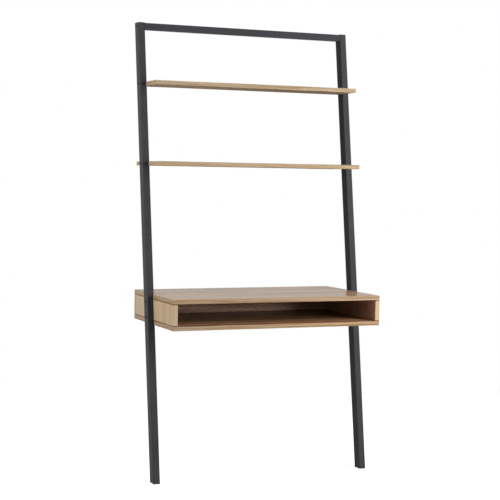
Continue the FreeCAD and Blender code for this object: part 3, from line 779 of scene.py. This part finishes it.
# %% Fastener sizes
FASTENER_SIZES = (
    "Head Diameter", "Head Height", "Recess Width", "Recess Depth", "Crest Diameter",
    "Root Diameter", "Thread Pitch", "Shank Length", "Point Length", "Point Diameter",
)
fastener = bpy.data.node_groups.new("fastener", "GeometryNodeTree")
fastener.interface.new_socket("Places", in_out="INPUT", socket_type="NodeSocketGeometry")
for name in FASTENER_SIZES:
    fastener.interface.new_socket(name, in_out="INPUT", socket_type="NodeSocketFloat")
fastener.interface.new_socket("Cross Recess", in_out="INPUT", socket_type="NodeSocketBool")
fastener.interface.new_socket("Finish", in_out="INPUT", socket_type="NodeSocketMaterial")
fastener.interface.new_socket("Fasteners", in_out="OUTPUT", socket_type="NodeSocketGeometry")
given = add(fastener, "NodeGroupInput").node.outputs
print("fastener tree with", len(FASTENER_SIZES), "sizes")

# %% [markdown]
# ## Fasteners: the head
#
# A button head is a flat dome over a short straight rim. Spinning a profile would do, but a short
# line swept with a circle, whose size follows an arc, needs no profile: the line's own place gives
# the radius.

# %% Head
HEAD_STEPS = 14
HEAD_SIDES = 48
DOME = 0.85  # the dome's share of the head's height, and where on a quarter circle it starts

under_head = add(fastener, "ShaderNodeCombineXYZ", {"Z": given["Head Height"]})
axis = add(fastener, "GeometryNodeCurvePrimitiveLine", {"End": under_head})
axis = add(fastener, "GeometryNodeResampleCurve", {"Curve": axis, "Count": HEAD_STEPS})
from_top = add(fastener, "GeometryNodeSplineParameter")
slope = add(
    fastener, "ShaderNodeMapRange",
    {"Value": from_top, "From Max": DOME, "To Min": DOME, "To Max": 0.0},
)
arc = add(fastener, "ShaderNodeMath", {0: slope, 1: 2.0}, operation="POWER")
arc = add(fastener, "ShaderNodeMath", {0: 1.0, 1: arc}, operation="SUBTRACT")
arc = add(fastener, "ShaderNodeMath", {0: arc}, operation="SQRT")
head_radius = add(fastener, "ShaderNodeMath", {0: given["Head Diameter"], 1: 0.5}, operation="MULTIPLY")
rim = add(
    fastener, "GeometryNodeCurvePrimitiveCircle", {"Resolution": HEAD_SIDES, "Radius": head_radius}
)
blank_head = add(
    fastener, "GeometryNodeCurveToMesh",
    {"Curve": axis, "Profile Curve": rim, "Scale": arc, "Fill Caps": True},
)
print("head in", HEAD_STEPS, "steps")

# %% [markdown]
# ## Fasteners: the recess
#
# The punch leaves a hexagon for a hex key, or a cross. Either is a cutter, centred on the head's
# top, that a boolean takes away. The two slots of the cross differ in depth by a tenth, because
# faces that fall together make a boolean fail.

# %% Recess
SLOT_SHARE = 0.25  # a slot's width, as a share of its length
DEEPER = 1.1  # the second slot's height, as a share of the first one's

cut_height = add(fastener, "ShaderNodeMath", {0: given["Recess Depth"], 1: 2.0}, operation="MULTIPLY")
corner_radius = add(
    fastener, "ShaderNodeMath", {0: given["Recess Width"], 1: 3**0.5}, operation="DIVIDE"
)
hexagon = add(
    fastener, "GeometryNodeMeshCylinder", {"Vertices": 6, "Radius": corner_radius, "Depth": cut_height}
)
slot_length = given["Recess Width"]
slot_width = add(fastener, "ShaderNodeMath", {0: slot_length, 1: SLOT_SHARE}, operation="MULTIPLY")
slot_depth = add(fastener, "ShaderNodeMath", {0: cut_height, 1: DEEPER}, operation="MULTIPLY")
first_slot = add(fastener, "ShaderNodeCombineXYZ", {"X": slot_length, "Y": slot_width, "Z": cut_height})
other_slot = add(fastener, "ShaderNodeCombineXYZ", {"X": slot_width, "Y": slot_length, "Z": slot_depth})
slots = [add(fastener, "GeometryNodeMeshCube", {"Size": size}) for size in (first_slot, other_slot)]
cross = add(fastener, "GeometryNodeJoinGeometry", {"Geometry": slots})
recess = add(
    fastener, "GeometryNodeSwitch",
    {"Switch": given["Cross Recess"], "False": hexagon, "True": cross},
    input_type="GEOMETRY",
)
head = add(
    fastener, "GeometryNodeMeshBoolean",
    {"Mesh 1": blank_head, "Mesh 2": recess, "Self Intersection": True},
    out="Mesh", operation="DIFFERENCE",
)
print("recess: hexagon or cross")

# %% [markdown]
# ## Fasteners: the thread
#
# A thread is a V that climbs by one pitch in each turn. A Screw modifier could turn a profile into
# it, but it can't narrow towards a point. A diamond swept along a spiral can: half of it is buried
# in the shank, so a V stands out, and the spiral's two radii may differ.

# %% Thread
POINTS_PER_TURN = 20

half_pitch = add(fastener, "ShaderNodeMath", {0: given["Thread Pitch"], 1: 0.5}, operation="MULTIPLY")
tooth_width = add(
    fastener, "ShaderNodeMath",
    {0: given["Crest Diameter"], 1: given["Root Diameter"]},
    operation="SUBTRACT",
)
tooth = add(
    fastener, "GeometryNodeCurvePrimitiveQuadrilateral",
    {"Width": tooth_width, "Bottom Height": half_pitch, "Top Height": half_pitch},
    mode="KITE",
)


def thread(length, first_radius, last_radius):
    turns = add(fastener, "ShaderNodeMath", {0: length, 1: given["Thread Pitch"]}, operation="DIVIDE")
    path = add(
        fastener, "GeometryNodeCurveSpiral",
        {
            "Resolution": POINTS_PER_TURN, "Rotations": turns,
            "Start Radius": first_radius, "End Radius": last_radius, "Height": length,
        },
    )
    path = add(fastener, "GeometryNodeSetCurveNormal", {"Curve": path}, mode="Z_UP")
    return add(
        fastener, "GeometryNodeCurveToMesh",
        {"Curve": path, "Profile Curve": tooth, "Fill Caps": True},
    )


print("thread helper ready")

# %% [markdown]
# ## Fasteners: the shank and its point
#
# A plain cylinder and a cone carry two stretches of thread. The second one stops half a pitch
# before the tip, so that no tooth stands out past it. The parts aren't fused: they overlap inside,
# where nobody sees, and a boolean over so many small faces would cost time for nothing. Edges
# sharper than 32 degrees stay crisp.

# %% Shank and point
SHANK_SIDES = 32
SHARP_EDGE = math.radians(32)


def lifted(shape, height):
    offset = add(fastener, "ShaderNodeCombineXYZ", {"Z": height})
    return add(fastener, "GeometryNodeTransform", {"Geometry": shape, "Translation": offset})


root_radius = add(
    fastener, "ShaderNodeMath", {0: given["Root Diameter"], 1: 0.5}, operation="MULTIPLY"
)
point_radius = add(
    fastener, "ShaderNodeMath", {0: given["Point Diameter"], 1: 0.5}, operation="MULTIPLY"
)
point_length = given["Point Length"]
straight = add(
    fastener, "ShaderNodeMath", {0: given["Shank Length"], 1: point_length}, operation="SUBTRACT"
)
half_straight = add(fastener, "ShaderNodeMath", {0: straight, 1: 0.5}, operation="MULTIPLY")
point_start = add(fastener, "ShaderNodeMath", {0: given["Head Height"], 1: straight}, operation="ADD")
shank_middle = add(fastener, "ShaderNodeMath", {0: point_start, 1: half_straight}, operation="SUBTRACT")
point_climb = add(fastener, "ShaderNodeMath", {0: point_length, 1: half_pitch}, operation="SUBTRACT")
shank = add(
    fastener, "GeometryNodeMeshCylinder",
    {"Vertices": SHANK_SIDES, "Radius": root_radius, "Depth": straight},
    out="Mesh",
)
point = add(
    fastener, "GeometryNodeMeshCone",
    {
        "Vertices": SHANK_SIDES, "Depth": point_length,
        "Radius Top": point_radius, "Radius Bottom": root_radius,
    },
    out="Mesh",
)
parts = [
    head, lifted(shank, shank_middle), lifted(point, point_start),
    lifted(thread(straight, root_radius, root_radius), given["Head Height"]),
    lifted(thread(point_climb, root_radius, point_radius), point_start),
]
whole = add(fastener, "GeometryNodeJoinGeometry", {"Geometry": parts})
whole = add(
    fastener, "GeometryNodeSetShadeSmooth", {"Geometry": whole, "Shade Smooth": True}, domain="FACE"
)
angle = add(fastener, "GeometryNodeInputMeshEdgeAngle")
sharp = add(fastener, "ShaderNodeMath", {0: angle, 1: SHARP_EDGE}, operation="GREATER_THAN")
whole = add(
    fastener, "GeometryNodeSetShadeSmooth",
    {"Geometry": whole, "Selection": sharp, "Shade Smooth": False},
    domain="EDGE",
)
print("fastener of", len(parts), "parts")

# %% [markdown]
# ## Fasteners: one on every place
#
# Each place is a point that says which way its fastener aims. Bolts tightened by hand never line
# up, so each one is also turned about its own axis by a chance angle, from a fixed seed. The
# instances are made real at the end, because an export drops them.

# %% Placing
SPIN_SEED = 7

aim = add(fastener, "GeometryNodeInputNamedAttribute", {"Name": "aim"}, data_type="FLOAT_VECTOR")
direction = add(fastener, "FunctionNodeAlignRotationToVector", {"Vector": aim}, axis="Z")
chance_angle = add(
    fastener, "FunctionNodeRandomValue",
    {"Min_001": 0.0, "Max_001": math.tau, "Seed": SPIN_SEED},
    out="Value_001", data_type="FLOAT",
)
spin = add(fastener, "FunctionNodeAxisAngleToRotation", {"Axis": (0, 0, 1), "Angle": chance_angle})
direction = add(
    fastener, "FunctionNodeRotateRotation",
    {"Rotation": direction, "Rotate By": spin},
    rotation_space="LOCAL",
)
placed = add(
    fastener, "GeometryNodeInstanceOnPoints",
    {"Points": given["Places"], "Instance": whole, "Rotation": direction},
)
placed = add(fastener, "GeometryNodeRealizeInstances", {"Geometry": placed})
placed = add(fastener, "GeometryNodeSetMaterial", {"Geometry": placed, "Material": given["Finish"]})
add(fastener, "NodeGroupOutput", {"Fasteners": placed})
print("fastener tree:", len(fastener.nodes), "nodes")

# %% [markdown]
# ## Where the fasteners go
#
# Their places could be typed in, but then they would be wrong as soon as the solids change. So they
# are measured. In a merged copy of a solid's mesh every fastener is an island of joined vertices.
# Its box gives the axis, which is the longest side, and the wider of its two ends is the head.

# %% Islands
def islands(vertices):
    """Groups of vertices that edges join."""
    waiting = set(vertices)
    while waiting:
        island = set()
        border = {waiting.pop()}
        while border:
            island |= border
            waiting -= border
            border = {edge.other_vert(v) for v in border for edge in v.link_edges} - island
        yield island


print("island helper ready")

# %% Places measured on the solids
MERGED = 0.001 * MM
AT_THE_END = 0.01 * MM


def measured_fasteners(name):
    """Head centre, direction and length of each fastener in a solid."""
    copy = bmesh.new()
    copy.from_mesh(solids[name].data)
    bmesh.ops.remove_doubles(copy, verts=copy.verts, dist=MERGED)
    found = []
    for island in islands(copy.verts):
        low = Vector([min(v.co[i] for v in island) for i in range(3)])
        high = Vector([max(v.co[i] for v in island) for i in range(3)])
        along = max(range(3), key=lambda i: high[i] - low[i])
        ends = []
        for level in (low[along], high[along]):
            centre = (low + high) / 2
            centre[along] = level
            width = max((v.co - centre).length for v in island if abs(v.co[along] - level) < AT_THE_END)
            ends.append((width, centre))
        (_, tip), (_, head_centre) = sorted(ends, key=lambda end: end[0])
        found.append((head_centre, (tip - head_centre).normalized(), (tip - head_centre).length))
    copy.free()
    return sorted(found, key=lambda place: tuple(place[0]))


print(len(measured_fasteners("desk_bolts")), "desk bolts found")

# %% [markdown]
# ## Making the fasteners
#
# For each solid, a mesh of bare points carries the places, and the tree's modifier turns it into
# fasteners. Keeping the modifier would leave the sizes open to change, but a plain mesh is what
# every other program reads, so the result is kept as one. It stands for the solid that it replaces.

# %% Fastener measurements
# all in millimetres, and the shank's length is measured on the solid
BUTTON_HEAD = {"Head Diameter": 10.5, "Head Height": 3.3, "Recess Width": 4, "Recess Depth": 2}
PAN_HEAD = {"Head Diameter": 8, "Head Height": 2.4, "Recess Width": 4.4, "Recess Depth": 1.3}
M6_THREAD = {
    "Crest Diameter": 6, "Root Diameter": 4.9, "Thread Pitch": 1,
    "Point Length": 1, "Point Diameter": 4.2,
}
BOARD_THREAD = {
    "Crest Diameter": 6, "Root Diameter": 4.3, "Thread Pitch": 3,
    "Point Length": 5, "Point Diameter": 1,
}
BRACKET_THREAD = {
    "Crest Diameter": 4, "Root Diameter": 2.8, "Thread Pitch": 2,
    "Point Length": 4, "Point Diameter": 0.4,
}
FASTENERS = {
    # solid: head, thread, cross recess, finish, slot
    "crossbar_bolts": (BUTTON_HEAD, M6_THREAD, False, black_oxide, "black_bolts"),
    "upper_shelf_screws": (BUTTON_HEAD, BOARD_THREAD, False, black_oxide, "black_bolts"),
    "lower_shelf_screws": (BUTTON_HEAD, BOARD_THREAD, False, black_oxide, "black_bolts"),
    "desk_bolts": (BUTTON_HEAD, M6_THREAD, False, black_oxide, "black_bolts"),
    "wall_bracket_screws": (PAN_HEAD, BRACKET_THREAD, True, zinc, "zinc_steel"),
}
print("fasteners for", len(FASTENERS), "solids")

# %% Fasteners
for name, (head_sizes, thread_sizes, crossed, finish, slot_name) in FASTENERS.items():
    places = measured_fasteners(name)
    shank_length = places[0][2] / MM - head_sizes["Head Height"]
    sizes = {**head_sizes, **thread_sizes, "Shank Length": shank_length}
    values = {size_name: size * MM for size_name, size in sizes.items()}
    values.update({"Cross Recess": crossed, "Finish": finish})

    points = bpy.data.meshes.new(name + "_places")
    points.from_pydata([place for place, _, _ in places], [], [])
    points.attributes.new("aim", "FLOAT_VECTOR", "POINT")
    for point_aim, (_, direction, _) in zip(points.attributes["aim"].data, places):
        point_aim.vector = direction

    piece = bpy.data.objects.new(name + "_threaded", points)
    bpy.context.collection.objects.link(piece)
    maker = piece.modifiers.new("fastener", "NODES")
    maker.node_group = fastener
    for item in fastener.interface.items_tree:
        if item.name in values:
            maker[item.identifier] = values[item.name]
    evaluated = piece.evaluated_get(bpy.context.evaluated_depsgraph_get())
    baked = bpy.data.meshes.new_from_object(evaluated)
    baked.materials.clear()
    baked.materials.append(finish)
    piece.modifiers.clear()
    piece.data = baked
    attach(piece, "root")
    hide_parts(name)
    print(f"{name}: {len(places)}, shank {shank_length:.1f} mm, {len(baked.loop_triangles)} triangles")
